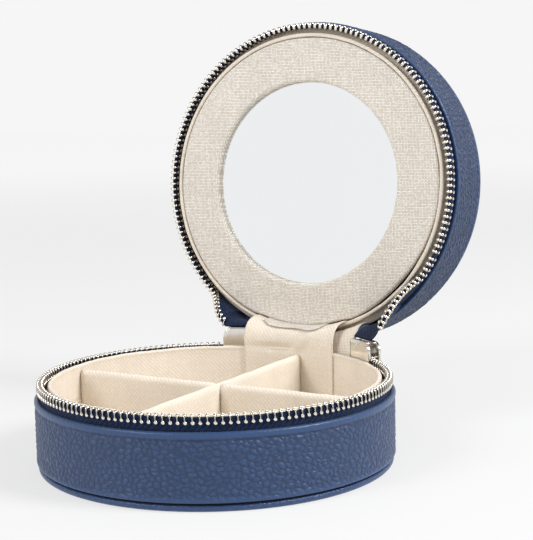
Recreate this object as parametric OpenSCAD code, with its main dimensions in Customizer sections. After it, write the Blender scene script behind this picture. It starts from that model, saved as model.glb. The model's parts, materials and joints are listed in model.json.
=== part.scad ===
// Round zip-around jewellery case, shown open.
// Two equal halves of board covered in leather and lined in canvas are joined
// by a leather hinge panel, a canvas strap and a metal zip with two sliders.
// Units are millimetres. The base's axis is the Z axis, and the case stands on
// Z = 0 with the hinge at the back, on the +Y side. Angles called "bearing"
// are measured from the back, +Y, towards +X.

/* [Case] */
// Outer radius of the leather sides
case_r = 55; // [54.8:0.1:56]
// Height of one half, from its outer face to the plane where the halves meet
half_h = 27.2; // [27:0.1:30]
// Height of the side leather's open edge above the half's outer face
leather_top = 22; // [21:0.1:22]
// How far the lid is open at rest
open_angle = 93.9; // [60:0.1:96]
// Distance of the hinge line behind the case's axis
hinge_y = 54.6; // [54.5:0.1:55]

/* [Covers] */
// Thickness of the leather-covered outer panel
panel_t = 1.9; // [1.5:0.1:2.2]
// Radius of the outer panel
panel_r = 54.4; // [53.8:0.1:54.8]
// Width of the dark groove between the outer panel and the side
groove_w = 0.6; // [0.4:0.1:1]
// Thickness of the side leather
leather_t = 1.4; // [1.2:0.1:1.4]
// Distance of the pressed crease line below the leather's edge
crease_drop = 2.2; // [1.5:0.1:4]

/* [Lining] */
// Outer radius of the canvas wall lining
lining_r = 50.6; // [50.2:0.1:50.6]
// Thickness of the canvas wall lining
lining_t = 0.8; // [0.6:0.1:0.9]
// Height of the wall lining's folded top edge
lining_top = 26; // [24:0.1:26.2]
// Thickness of the covered floor
floor_t = 0.7; // [0.5:0.1:1]

/* [Dividers] */
// Thickness of a canvas-covered divider
divider_t = 3; // [2:0.1:4]
// Height of the dividers' top edge above the case's foot
divider_top = 24.2; // [18:0.1:25]
// Sideways shift of the crossing from the case's axis
cross_x = 2.2; // [-6:0.1:6]
// Front-to-back shift of the crossing from the case's axis
cross_y = -2; // [-6:0.1:6]

/* [Mirror] */
// Radius of the linen-covered surround
surround_r = 49.7; // [49:0.1:49.7]
// Radius of the round hole in the surround
mirror_hole_r = 34.4; // [25:0.1:40]
// Thickness of the surround
surround_t = 2.4; // [1.8:0.1:3]
// How far the surround lies below the plane where the halves meet
surround_sink = 1.2; // [0.6:0.1:2]
// Thickness of the mirror glass
glass_t = 2; // [1.5:0.1:3]

/* [Zip] */
// Radius of the middle of the zip tape
tape_r = 53.15; // [53.1:0.01:53.2]
// Thickness of the zip tape
tape_t = 0.6; // [0.4:0.1:0.6]
// Distance from one tooth to the next, along the tape
tooth_pitch = 2; // [1.8:0.05:2.5]
// Width of a tooth along the tape
tooth_w = 1.1; // [0.8:0.05:1.2]
// Height of a tooth
tooth_h = 3; // [2.6:0.1:3.2]
// Bearing at which the left slider is parked
park_left = -22; // [-24:0.5:-22]
// Bearing at which the right slider is parked
park_right = 35; // [35:0.5:37]

/* [Hinge] */
// Width of the canvas strap that stops the lid, as an angle either side of the back
strap_half = 20; // [12:1:20]
// Thickness of the canvas strap
strap_t = 0.6; // [0.4:0.1:0.6]

/* [Pulls] */
// Length of a slider's pull tab below its pivot
pull_len = 17; // [10:1:18]
// Width of a slider's pull tab
pull_w = 5; // [4:0.5:6]

/* [Hidden] */

$fn = 96;
navy = "#44557f";
dark_navy = "#171c33";
canvas = "#f3e9da";
linen = "#e2d8c8";
nickel = "#c9c4bc";
card = "#b9a88c";
gap = 0.1;

// Heights in one half, counted from its outer face
side_z0 = panel_t + groove_w;
board_t = 1.7;
board_z1 = panel_t + board_t;
rebate_z = 15;
neck_z = leather_top + 0.1;
floor_z = board_z1 + gap;
wall_z0 = floor_z + floor_t + gap;

// Radii
side_in_r = case_r - leather_t;
board_in_r = lining_r + 0.2;
rebate_r = tape_r - tape_t / 2 - 0.05;
lining_in_r = lining_r - lining_t;
divider_r = lining_in_r - gap;
strap_out_r = lining_in_r - gap;
strap_in_r = strap_out_r - strap_t;
edge_round = 0.6;

// Zip
tooth_gap = 0.35;
tooth_leg = 0.85;
tooth_in_r = tape_r - tape_t / 2 - tooth_leg;
tooth_out_r = tape_r + tape_t / 2 + tooth_leg;
tooth_top = half_h - tooth_gap;
tooth_head = 0.8;
tape_top = tooth_top - tooth_head - 0.05;
pitch_angle = tooth_pitch / tape_r * 180 / PI;

// Sliders
slider_half_h = 4.8;
slider_half_turn = 6.7;
plate_t = 0.8;
plate_gap = 0.3;
plate_in_r = tooth_in_r - plate_gap - plate_t;
plate_out_r = tooth_out_r + plate_gap;
flange_h = 0.8;
flange_gap = 0.35;
web_t = 0.36;
web_turn = 3.2;
shoulder_r = 3.4;
tail_r = 1.2;
bar_r = 0.55;
bail_out = 1.2;
bail_r = plate_out_r + plate_t + bail_out;
bail_half = 2.9;
bail_leg = 1;
bail_half_h = 1.2;
pull_t = 1;
pull_bore_r = bar_r + 0.07;
barrel_r = 1.1;
barrel_half = bail_half - bail_leg - 0.15;

// Where the zip's rows run, as bearings from one end round the front to the other
row_start = park_right - slider_half_turn + 0.2;
row_end = 360 + park_left + slider_half_turn - 0.2;
end_turn = 22;
lid_row_start = park_right + slider_half_turn + end_turn;
lid_row_end = 360 + park_left - slider_half_turn - end_turn;

// Hinge panel, between the two parked sliders
panel_from = park_left + slider_half_turn + 0.8;
panel_to = park_right - slider_half_turn - 0.8;
fold_from = half_h - 3.7;
fold_to = half_h + 3.7;

// Strap: how high it stands against the wall, where it meets the lid, where it
// ends inside the lid, how it leaves the wall and how it runs into the lid
strap_leave = half_h - 0.7;
strap_join = half_h + 3.8;
strap_end = half_h + 7;
strap_lean = -1.2;
strap_rise = 1.08;
strap_run = [-6, 0.8];

// Placing

// Turns its children about the hinge line, opening by the angle a
module hinge_turn(a) {
    translate([0, hinge_y, half_h])
        rotate([-a, 0, 0])
            translate([0, -hinge_y, -half_h]) children();
}

// Puts a half's part, modelled as in the base, into the open lid
module in_lid() {
    hinge_turn(open_angle)
        translate([0, 0, 2 * half_h])
            mirror([0, 0, 1]) children();
}

// A ring with the given outline of [radius, height] points
module ring(outline) {
    rotate_extrude() polygon(outline);
}

// A ring's stretch between two bearings
module ring_part(from, to, r0, r1, z0, z1) {
    rotate_extrude(start = 90 - to, angle = to - from)
        translate([r0, z0]) square([r1 - r0, z1 - z0]);
}

// Parts that both halves have

// Outer panel, with a rounded rim
module outer_panel() {
    color(navy) rotate_extrude() union() {
        translate([0, edge_round]) square([panel_r, panel_t - edge_round]);
        square([panel_r - edge_round, panel_t]);
        translate([panel_r - edge_round, edge_round]) circle(edge_round);
    }
}

// Stiff board behind the outer panel
module panel_board() {
    color(card) translate([0, 0, panel_t]) cylinder(r = side_in_r - 0.2, h = board_t);
}

// Stiff wall, with a rebate at the top for the zip tape
module side_board() {
    color(card) ring([
        [board_in_r, board_z1], [side_in_r - gap, board_z1], [side_in_r - gap, rebate_z],
        [rebate_r, rebate_z], [rebate_r, neck_z], [board_in_r, neck_z]
    ]);
}

// Leather side, with a turned top edge and a pressed crease below it
module side_leather() {
    crease_z = leather_top - crease_drop;
    color(navy) ring([
        [side_in_r, side_z0], [case_r - 0.4, side_z0], [case_r, side_z0 + 0.5],
        [case_r, crease_z - 0.4], [case_r - 0.3, crease_z], [case_r, crease_z + 0.4],
        [case_r, leather_top - 0.6], [case_r - 0.4, leather_top], [side_in_r, leather_top]
    ]);
}

// Canvas lining of the wall, folded over at the top
module wall_lining(foot) {
    color(canvas) ring([
        [lining_in_r, foot], [lining_r, foot], [lining_r, lining_top - 0.3],
        [lining_r - 0.3, lining_top], [lining_in_r + 0.3, lining_top],
        [lining_in_r, lining_top - 0.3]
    ]);
}

// Zip tape, glued into the rebate and standing up above the leather
module zip_tape(from, to) {
    color(dark_navy)
        ring_part(from, to, tape_r - tape_t / 2, tape_r + tape_t / 2, rebate_z + gap, tape_top);
}

// One tooth clamped over the tape's edge, at the back, with its legs down
module tooth() {
    leg_in = tape_r - tape_t / 2 - 0.05;
    leg_out = tape_r + tape_t / 2 + 0.05;
    foot = tooth_top - tooth_h;
    head = tooth_top - tooth_head;
    rotate([90, 0, 90])
        translate([0, 0, -tooth_w / 2])
            linear_extrude(tooth_w)
                polygon([
                    [tooth_in_r + 0.2, foot], [leg_in, foot], [leg_in, head], [leg_out, head],
                    [leg_out, foot], [tooth_out_r - 0.2, foot], [tooth_out_r, foot + 0.3],
                    [tooth_out_r, tooth_top - 0.6], [tooth_out_r - 0.5, tooth_top],
                    [tooth_in_r + 0.5, tooth_top], [tooth_in_r, tooth_top - 0.6],
                    [tooth_in_r, foot + 0.3]
                ]);
}

// A row of teeth between two bearings. Shift is in pitches, so that the two
// halves' teeth alternate
module tooth_row(from, to, shift) {
    color(nickel)
        for (i = [0 : floor((to - from) / pitch_angle - shift - 0.5)])
            rotate([0, 0, -(from + (i + shift + 0.5) * pitch_angle)]) tooth();
}

// Base

module base_bottom_leather() outer_panel();

module base_bottom_board() panel_board();

module base_side_board() side_board();

module base_side_leather() side_leather();

module base_wall_lining() wall_lining(wall_z0);

module base_floor_lining() {
    color(canvas) translate([0, 0, floor_z]) cylinder(r = lining_r, h = floor_t);
}

module base_zip_tape() zip_tape(row_start, row_end);

module base_zip_teeth() tooth_row(row_start, row_end, 0);

// A divider's plain board with a softly rounded top edge, along X
module divider_board(r) {
    half = divider_t / 2;
    soft = half - 0.4;
    intersection() {
        rotate([90, 0, 90]) translate([0, 0, -r]) linear_extrude(2 * r) union() {
            translate([-half, wall_z0]) square([divider_t, divider_top - soft - wall_z0]);
            translate([-half + soft, wall_z0]) square([divider_t - 2 * soft, divider_top - wall_z0]);
            for (side = [-1, 1])
                translate([side * (half - soft), divider_top - soft]) circle(soft);
        }
        translate([0, 0, wall_z0 - 1]) cylinder(r = r, h = divider_top);
    }
}

// The half of the crossing that is cut away, so that the two dividers slot together
module crossing(z0, z1, clear) {
    side = divider_t + 2 * clear;
    translate([cross_x - side / 2, cross_y - side / 2, z0]) cube([side, side, z1 - z0]);
}

module divider_long() {
    half_way = (wall_z0 + divider_top) / 2;
    color(canvas) difference() {
        intersection() {
            translate([0, cross_y, 0]) divider_board(divider_r);
            translate([0, 0, wall_z0 - 1]) cylinder(r = divider_r, h = divider_top);
        }
        crossing(half_way, divider_top + 1, 0.05);
    }
}

module divider_cross() {
    half_way = (wall_z0 + divider_top) / 2;
    color(canvas) difference() {
        intersection() {
            translate([cross_x, 0, 0]) rotate([0, 0, 90]) divider_board(divider_r);
            translate([0, 0, wall_z0 - 1]) cylinder(r = divider_r, h = divider_top);
        }
        crossing(wall_z0 - 1, half_way, 0.05);
        ring_part(-strap_half - 1, strap_half + 1, strap_in_r - gap, case_r, wall_z0 - 1, half_h);
    }
}

// Lid

module lid_top_leather() in_lid() outer_panel();

module lid_top_board() in_lid() panel_board();

module lid_side_board() in_lid() side_board();

module lid_side_leather() in_lid() side_leather();

// The lid's lining dips beside each slider, which it passes as the lid shuts
module lid_wall_lining() {
    dip_z = 22.6;
    dip_half = slider_half_turn + 1.5;
    color(canvas) in_lid() difference() {
        wall_lining(board_z1 + gap);
        for (park = [park_left, park_right])
            ring_part(park - dip_half, park + dip_half, lining_in_r - 1, lining_r + 1, dip_z, half_h);
    }
}

module lid_zip_tape() in_lid() zip_tape(lid_row_start, lid_row_end);

module lid_zip_teeth() in_lid() tooth_row(lid_row_start, lid_row_end, 0.5);

// Heights of the mirror's pieces in the lid, from the lid's outer face
surround_z1 = half_h - surround_sink;
surround_z0 = surround_z1 - surround_t;
glass_z0 = surround_z0 - 0.05 - glass_t;
backing_t = 1.2;
backing_z0 = glass_z0 - 0.05 - backing_t;

// Card ring that the mirror's backing rests on
module lid_support_ring() {
    support_t = 2.5;
    color(card) in_lid() translate([0, 0, board_z1 + gap]) difference() {
        cylinder(r = strap_in_r - gap, h = backing_z0 - board_z1 - 2 * gap);
        translate([0, 0, -1]) cylinder(r = strap_in_r - gap - support_t, h = half_h);
    }
}

module mirror_backing() {
    color(card) in_lid() translate([0, 0, backing_z0]) cylinder(r = strap_in_r - gap, h = backing_t);
}

module mirror_glass() {
    color("#eceef0") in_lid() translate([0, 0, glass_z0])
        cylinder(r = mirror_hole_r + 3, h = glass_t);
}

// Linen-covered board with the mirror's hole, cut back where the strap passes
module mirror_surround() {
    color(linen) in_lid() difference() {
        translate([0, 0, surround_z0]) cylinder(r = surround_r, h = surround_t);
        translate([0, 0, surround_z0 - 1]) cylinder(r = mirror_hole_r, h = surround_t + 2);
        ring_part(-strap_half - 1, strap_half + 1, strap_in_r - 0.7, case_r, 0, half_h);
    }
}

// Soft pieces that cross the hinge

// Goes from 0 to 1 as x goes from a to b, and starts and stops gently
function ease(x, a, b) = let (t = min(1, max(0, (x - a) / (b - a)))) t * t * (3 - 2 * t);

// Where a point of the closed case goes when it turns through the share w of
// the opening. The point has radius r, bearing d and height s
function folded(r, d, s, w) =
    let (a = open_angle * w, y = r * cos(d) - hinge_y, z = s - half_h)
        [r * sin(d), hinge_y + y * cos(a) + z * sin(a), half_h - y * sin(a) + z * cos(a)];

// A bent sheet, given as rows of points on its inner side and on its outer side.
// Each is a list of rows, and every row has the same number of points
module sheet(inner, outer) {
    rows = len(inner);
    cols = len(inner[0]);
    points = [for (side = [inner, outer]) for (row = side) for (p = row) p];
    back = rows * cols;
    function at(i, j, side) = side * back + i * cols + j;
    function quad(a, b, c, d) = [[a, b, c], [a, c, d]];
    faces = concat(
        [for (i = [0 : rows - 2]) for (j = [0 : cols - 2]) for (f = quad(
            at(i, j, 0), at(i + 1, j, 0), at(i + 1, j + 1, 0), at(i, j + 1, 0))) f],
        [for (i = [0 : rows - 2]) for (j = [0 : cols - 2]) for (f = quad(
            at(i, j, 1), at(i, j + 1, 1), at(i + 1, j + 1, 1), at(i + 1, j, 1))) f],
        [for (i = [0 : rows - 2]) for (f = quad(
            at(i, 0, 0), at(i, 0, 1), at(i + 1, 0, 1), at(i + 1, 0, 0))) f],
        [for (i = [0 : rows - 2]) for (f = quad(
            at(i, cols - 1, 0), at(i + 1, cols - 1, 0),
            at(i + 1, cols - 1, 1), at(i, cols - 1, 1))) f],
        [for (j = [0 : cols - 2]) for (f = quad(
            at(0, j, 0), at(0, j + 1, 0), at(0, j + 1, 1), at(0, j, 1))) f],
        [for (j = [0 : cols - 2]) for (f = quad(
            at(rows - 1, j, 0), at(rows - 1, j, 1),
            at(rows - 1, j + 1, 1), at(rows - 1, j + 1, 0))) f]
    );
    polyhedron(points, faces, convexity = 6);
}

// Rows of a hinge sheet: it stands on the base up to the height f0 and on the
// lid from f1, and folds between them
function hinge_rows(r, d0, d1, s0, s1, f0, f1, across, along) =
    [for (i = [0 : along]) let (s = s0 + (s1 - s0) * i / along)
        [for (j = [0 : across]) folded(r, d0 + (d1 - d0) * j / across, s, ease(s, f0, f1))]];

module hinge_sheet(r0, r1, d0, d1, s0, s1, f0, f1, across, along) {
    sheet(
        hinge_rows(r0, d0, d1, s0, s1, f0, f1, across, along),
        hinge_rows(r1, d0, d1, s0, s1, f0, f1, across, along)
    );
}

module hinge_leather() {
    color(navy) hinge_sheet(
        tape_r - tape_t / 2, tape_r + tape_t / 2, panel_from, panel_to,
        rebate_z + gap, 2 * half_h - rebate_z - gap, fold_from, fold_to, 12, 28);
}

module hinge_lining() {
    r = tape_r - tape_t / 2 - 0.1;
    color(canvas) hinge_sheet(
        r - 0.5, r, panel_from, panel_to,
        neck_z + 0.2, 2 * half_h - neck_z - 0.2, fold_from, fold_to, 12, 20);
}

// A point of the strap's free stretch between the halves, where t goes from 0
// at the wall to 1 at the lid
function strap_free(r, d, t) =
    let (
        wall = folded(r, d, strap_leave, 0),
        lid = folded(r, d, strap_join, 1),
        up = wall + [0, strap_lean, strap_rise * (lid[2] - wall[2])],
        back = lid + [0, strap_run[0], strap_run[1]]
    )
    pow(1 - t, 3) * wall + 3 * t * pow(1 - t, 2) * up + 3 * t * t * (1 - t) * back + pow(t, 3) * lid;

// One side of the strap: up the base's wall, over to the lid, and into the lid
function strap_rows(r) =
    let (across = 14, d = [for (j = [0 : across]) strap_half * (2 * j / across - 1)], foot = wall_z0 + 0.2)
        concat(
            [for (i = [0 : 7]) [for (b = d) folded(r, b, foot + (strap_leave - foot) * i / 8, 0)]],
            [for (i = [0 : 24]) [for (b = d) strap_free(r, b, i / 24)]],
            [for (i = [1 : 3])
                [for (b = d) folded(r, b, strap_join + (strap_end - strap_join) * i / 3, 1)]]
        );

module hinge_strap() {
    color(canvas) sheet(strap_rows(strap_in_r), strap_rows(strap_out_r));
}

// Share of the opening that the lid's zip has taken up, at a distance in degrees
// from the slider and at a height above the base's foot. The teeth run down
// from the lid to the slider, and the tape's sewn edge stays on the lid
start_share = 0.3;
function end_share(turn, s) =
    let (edge = start_share + (1 - start_share) * ease(turn, -2, end_turn))
        edge + (1 - edge) * ease(s, half_h + 1, half_h + 5.2);

// Bearing at a distance in degrees from the slider. Side is -1 on the left and 1 on the right
function end_bearing(park, side, turn) = park + side * (slider_half_turn + 0.4 + turn);

// Rows of a zip end's tape
function end_rows(r, park, side, along) =
    [for (i = [0 : along]) let (turn = end_turn * i / along)
        [for (s = [2 * half_h - tape_top : 1.1 : 2 * half_h - rebate_z - gap])
            folded(r, end_bearing(park, side, turn * 0.98), s, end_share(turn, s))]];

// Distances run along a list of points, from its first point to each of them
function distances(points, i = 0, run = 0) =
    i == len(points) - 1 ? [run] :
        concat([run], distances(points, i + 1, run + norm(points[i + 1] - points[i])));

// Turns of a zip end's teeth, evenly spaced along its bent edge
function end_teeth(park, side) =
    let (
        turns = [0 : 0.5 : end_turn],
        edge = [for (t = turns)
            folded(tape_r, end_bearing(park, side, t), half_h + 1.4, end_share(t, half_h + 1.2))],
        run = distances(edge),
        length = run[len(run) - 1],
        count = round(length / tooth_pitch),
        table = [for (i = [0 : len(run) - 1]) [run[i], 0.5 * i]]
    )
        [for (i = [0 : count - 1]) lookup((i + 0.5) * length / count, table)];

// One side of the web of tape over a parked slider. It goes from above the
// slider's top, past its outer plate, to the rim of the lid's leather
function web_rows(park, side, up) =
    let (top = half_h + slider_half_h)
        [for (i = [0 : 10]) let (b = park + side * (-slider_half_turn - 0.6 + (2 * slider_half_turn + 0.85) * i / 10))
            let (
                start = folded(tape_r, b, top + 0.1, 0),
                past = folded(plate_out_r + plate_t + 1.2, b, top + 0.6, 0),
                end = folded(case_r - 0.7, b, 2 * half_h - leather_top - 0.25, 1)
            )
                [for (j = [0 : 10]) let (t = j / 10)
                    pow(1 - t, 2) * start + 2 * t * (1 - t) * past + t * t * end + [0, 0, up]]];

module zip_end(park, side) {
    r0 = tape_r - tape_t / 2;
    r1 = tape_r + tape_t / 2;
    web_thick = 0.5;
    color(dark_navy) {
        if (side > 0) {
            sheet(end_rows(r1, park, side, 16), end_rows(r0, park, side, 16));
            sheet(web_rows(park, side, 0), web_rows(park, side, web_thick));
        } else {
            sheet(end_rows(r0, park, side, 16), end_rows(r1, park, side, 16));
            sheet(web_rows(park, side, web_thick), web_rows(park, side, 0));
        }
    }
    color(nickel)
        for (turn = end_teeth(park, side)) {
            hinge_turn(open_angle * end_share(turn, half_h + 1.2))
                translate([0, 0, 2 * half_h])
                    mirror([0, 0, 1])
                        rotate([0, 0, -end_bearing(park, side, turn)]) end_tooth();
        }
}

// A tooth of a zip end: its head only, clear of the bent tape
module end_tooth() {
    translate([-tooth_w / 2, tooth_in_r, tape_top + 0.1])
        cube([tooth_w, tooth_out_r - tooth_in_r, tooth_top - tape_top - 0.1]);
}

module zip_end_left() zip_end(park_left, -1);

module zip_end_right() zip_end(park_right, 1);

// Sliders, modelled at the back and turned to where they are parked

// Outline of a slider seen along its plates: broad shoulders at one end, and
// small corners at the other. Side is -1 when the shoulders point to -X
module slider_outline(side) {
    len_half = (plate_out_r + plate_t) * sin(slider_half_turn);
    h = slider_half_h;
    mirror([side > 0 ? 0 : 1, 0, 0]) union() {
        translate([-len_half, -h + tail_r]) square([2 * len_half - shoulder_r, 2 * (h - tail_r)]);
        translate([-len_half + tail_r, -h]) square([2 * len_half - shoulder_r - tail_r, 2 * h]);
        translate([len_half - shoulder_r, -h + shoulder_r]) square([shoulder_r, 2 * (h - shoulder_r)]);
        for (up = [-1, 1]) {
            translate([-len_half + tail_r, up * (h - tail_r)]) circle(tail_r);
            translate([len_half - shoulder_r, up * (h - shoulder_r)]) circle(shoulder_r);
        }
    }
}

module slider_body(park, side) {
    z0 = half_h - slider_half_h;
    z1 = half_h + slider_half_h;
    half = slider_half_turn;
    outer = plate_out_r + plate_t;
    tape_in = tape_r - tape_t / 2 - flange_gap;
    tape_out = tape_r + tape_t / 2 + flange_gap;
    web_from = side > 0 ? half - web_turn - 1 : 1 - half;
    color(nickel) rotate([0, 0, -park]) intersection() {
        union() {
            ring_part(-half, half, plate_in_r, plate_in_r + plate_t, z0, z1);
            ring_part(-half, half, plate_out_r, outer, z0, z1);
            for (z = [z0, z1 - flange_h]) {
                ring_part(-half, half, plate_in_r, tape_in, z, z + flange_h);
                ring_part(-half, half, tape_out, outer, z, z + flange_h);
            }
            ring_part(web_from, web_from + web_turn, plate_in_r, outer,
                half_h - web_t / 2, half_h + web_t / 2);
        }
        translate([0, case_r + 5, half_h])
            rotate([90, 0, 0]) linear_extrude(20) slider_outline(side);
    }
}

// Bridge on the outer plate: a bar between two legs
module slider_bail(park) {
    foot = plate_out_r + plate_t - 0.15;
    color(nickel) rotate([0, 0, -park]) translate([0, 0, half_h]) {
        translate([-bail_half, bail_r, 0]) rotate([0, 90, 0]) cylinder(r = bar_r, h = 2 * bail_half);
        for (x = [-bail_half, bail_half - bail_leg]) {
            translate([x, bail_r, 0]) rotate([0, 90, 0]) cylinder(r = bail_half_h, h = bail_leg);
            translate([x, foot, -bail_half_h]) cube([bail_leg, bail_r - foot, 2 * bail_half_h]);
        }
    }
}

// Pull tab: a barrel on the bail's bar, and a flat tab with a round end
module pull_tab(park) {
    color(nickel) rotate([0, 0, -park]) translate([0, bail_r, half_h]) difference() {
        union() {
            translate([-barrel_half, 0, 0]) rotate([0, 90, 0]) cylinder(r = barrel_r, h = 2 * barrel_half);
            translate([-barrel_half, -pull_t / 2, -4]) cube([2 * barrel_half, pull_t, 4]);
            translate([-pull_w / 2, -pull_t / 2, -pull_len + pull_w / 2])
                cube([pull_w, pull_t, pull_len - pull_w / 2 - 3]);
            translate([0, pull_t / 2, -pull_len + pull_w / 2])
                rotate([90, 0, 0]) cylinder(r = pull_w / 2, h = pull_t);
        }
        translate([-pull_w, 0, 0]) rotate([0, 90, 0]) cylinder(r = pull_bore_r, h = 2 * pull_w);
    }
}

module slider_left_body() slider_body(park_left, -1);

module slider_left_bail() slider_bail(park_left);

module pull_left_tab() pull_tab(park_left);

module slider_right_body() slider_body(park_right, 1);

module slider_right_bail() slider_bail(park_right);

module pull_right_tab() pull_tab(park_right);

base_bottom_leather();
base_bottom_board();
base_side_board();
base_side_leather();
base_wall_lining();
base_floor_lining();
base_zip_tape();
base_zip_teeth();
divider_long();
divider_cross();
lid_top_leather();
lid_top_board();
lid_side_board();
lid_side_leather();
lid_wall_lining();
lid_zip_tape();
lid_zip_teeth();
lid_support_ring();
mirror_surround();
mirror_glass();
mirror_backing();
zip_end_left();
zip_end_right();
hinge_leather();
hinge_lining();
hinge_strap();
slider_left_body();
slider_left_bail();
pull_left_tab();
slider_right_body();
slider_right_bail();
pull_right_tab();
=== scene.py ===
"""Looks of a round leather jewellery case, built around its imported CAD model.

Lengths are in metres and bearings in degrees, from the hinge side, +Y, towards +X. A place in one half
of the case is given as in the base: a radius, a bearing and a height above that half's outer face.
"""
import json
import math

import bmesh
import bpy
import numpy as np
from mathutils import Matrix, Vector


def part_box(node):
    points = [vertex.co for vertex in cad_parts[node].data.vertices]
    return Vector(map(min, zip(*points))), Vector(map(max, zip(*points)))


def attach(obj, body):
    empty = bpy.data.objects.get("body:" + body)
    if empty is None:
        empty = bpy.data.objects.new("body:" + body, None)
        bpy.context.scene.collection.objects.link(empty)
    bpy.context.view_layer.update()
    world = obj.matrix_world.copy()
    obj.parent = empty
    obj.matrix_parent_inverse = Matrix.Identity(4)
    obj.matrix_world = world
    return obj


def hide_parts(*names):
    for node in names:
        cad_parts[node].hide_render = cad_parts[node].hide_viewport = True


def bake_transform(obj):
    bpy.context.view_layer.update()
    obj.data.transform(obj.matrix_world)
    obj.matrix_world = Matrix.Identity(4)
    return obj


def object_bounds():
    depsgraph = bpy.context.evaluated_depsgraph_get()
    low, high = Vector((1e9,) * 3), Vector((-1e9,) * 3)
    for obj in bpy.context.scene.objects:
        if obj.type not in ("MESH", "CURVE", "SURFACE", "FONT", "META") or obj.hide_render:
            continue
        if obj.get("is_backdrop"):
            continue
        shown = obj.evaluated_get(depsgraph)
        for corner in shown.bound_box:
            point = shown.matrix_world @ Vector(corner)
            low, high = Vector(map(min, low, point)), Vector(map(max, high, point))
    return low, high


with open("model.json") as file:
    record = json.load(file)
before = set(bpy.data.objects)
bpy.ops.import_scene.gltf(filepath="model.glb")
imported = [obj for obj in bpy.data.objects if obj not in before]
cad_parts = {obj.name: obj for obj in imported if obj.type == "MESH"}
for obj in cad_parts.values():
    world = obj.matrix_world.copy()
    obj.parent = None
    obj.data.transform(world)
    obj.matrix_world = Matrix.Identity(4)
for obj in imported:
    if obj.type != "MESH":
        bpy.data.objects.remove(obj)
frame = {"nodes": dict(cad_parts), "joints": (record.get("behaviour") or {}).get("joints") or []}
CAD_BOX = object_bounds()

MM = 0.001


def joint(name):
    return next(j for j in frame["joints"] if j["name"] == name)


def top_of(node):
    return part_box(node)[1].z


def radius_of(node):
    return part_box(node)[1].x


# The frame's own sizes
_, HINGE_Y, HALF_H = joint("lid_hinge")["pos_m"]
OPENING = math.radians(-joint("lid_hinge")["range_deg"][0])
CASE_R = radius_of("base_side_leather")
LEATHER_TOP = top_of("base_side_leather")
LEATHER_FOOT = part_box("base_side_leather")[0].z
PANEL_R = radius_of("base_bottom_leather")
PANEL_T = top_of("base_bottom_leather")
LINING_R = radius_of("base_wall_lining")
LINING_TOP = top_of("base_wall_lining")
LINING_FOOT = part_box("base_wall_lining")[0].z
FLOOR_Z0, FLOOR_Z1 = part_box("base_floor_lining")[0].z, top_of("base_floor_lining")
DIVIDER_TOP = top_of("divider_long")
TAPE_FOOT, TAPE_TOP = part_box("base_zip_tape")[0].z, top_of("base_zip_tape")
TOOTH_TOP = top_of("base_zip_teeth")
LEATHER_T = 1.4 * MM
LINING_T = 0.8 * MM

# The zip's own sizes
TAPE_R = 53.15 * MM
TAPE_T = 0.6 * MM
TOOTH_PITCH = 2 * MM
TOOTH_H = 3 * MM
TOOTH_LEG = 0.85 * MM
RIB_PITCH = 1 * MM
PITCH_TURN = math.degrees(TOOTH_PITCH / TAPE_R)
SLIDER_TURN = 6.7
END_TURN = 22
ROW_CLEAR = 0.2
PLATE_T = 0.8 * MM
PLATE_GAP = 0.3 * MM
PLATE_IN_R = TAPE_R - TAPE_T / 2 - TOOTH_LEG - PLATE_GAP - PLATE_T
PLATE_OUT_R = TAPE_R + TAPE_T / 2 + TOOTH_LEG + PLATE_GAP
SLIDER_HALF_H = 4.8 * MM


def parked(side):
    """Bearing of a slider at rest, and the radius of its bail's bar."""
    x, y, _ = joint(f"pull_{side}_swing")["pos_m"]
    return math.degrees(math.atan2(x, y)), math.hypot(x, y)


PARK = {side: parked(side)[0] for side in ("left", "right")}
BAIL_R = parked("left")[1]
SIDE_SIGN = {"left": -1, "right": 1}


# Camera and studio

BACKDROP = 0.92


def make_camera():
    """Looks at the open case from the front right, a little above its rim."""
    azimuth, elevation, roll = (math.radians(a) for a in (29.65, 7.12, -1.1))
    across, up_by, back_by = 15.18 * MM, 58.22 * MM, 397 * MM
    back = Vector((
        math.sin(azimuth) * math.cos(elevation),
        -math.cos(azimuth) * math.cos(elevation),
        math.sin(elevation),
    ))
    right = Vector((math.cos(azimuth), math.sin(azimuth), 0))
    up = back.cross(right)
    rolled_right = right * math.cos(roll) + up * math.sin(roll)
    rolled_up = up * math.cos(roll) - right * math.sin(roll)
    place = rolled_right * across + rolled_up * up_by + back * back_by
    data = bpy.data.cameras.new("camera")
    data.lens = 85.55
    data.sensor_width = 36
    data.clip_start = 0.01
    camera = bpy.data.objects.new("camera", data)
    turn = Matrix((rolled_right, rolled_up, back)).transposed().to_4x4()
    camera.matrix_world = Matrix.Translation(place) @ turn
    bpy.context.scene.collection.objects.link(camera)
    bpy.context.scene.camera = camera


def area_light(name, place, target, size, power):
    data = bpy.data.lights.new(name, "AREA")
    data.shape = "DISK"
    data.size = size
    data.energy = power
    light = bpy.data.objects.new(name, data)
    towards = Vector(target) - Vector(place)
    light.rotation_euler = towards.to_track_quat("-Z", "Y").to_euler()
    light.location = place
    bpy.context.scene.collection.objects.link(light)


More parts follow.
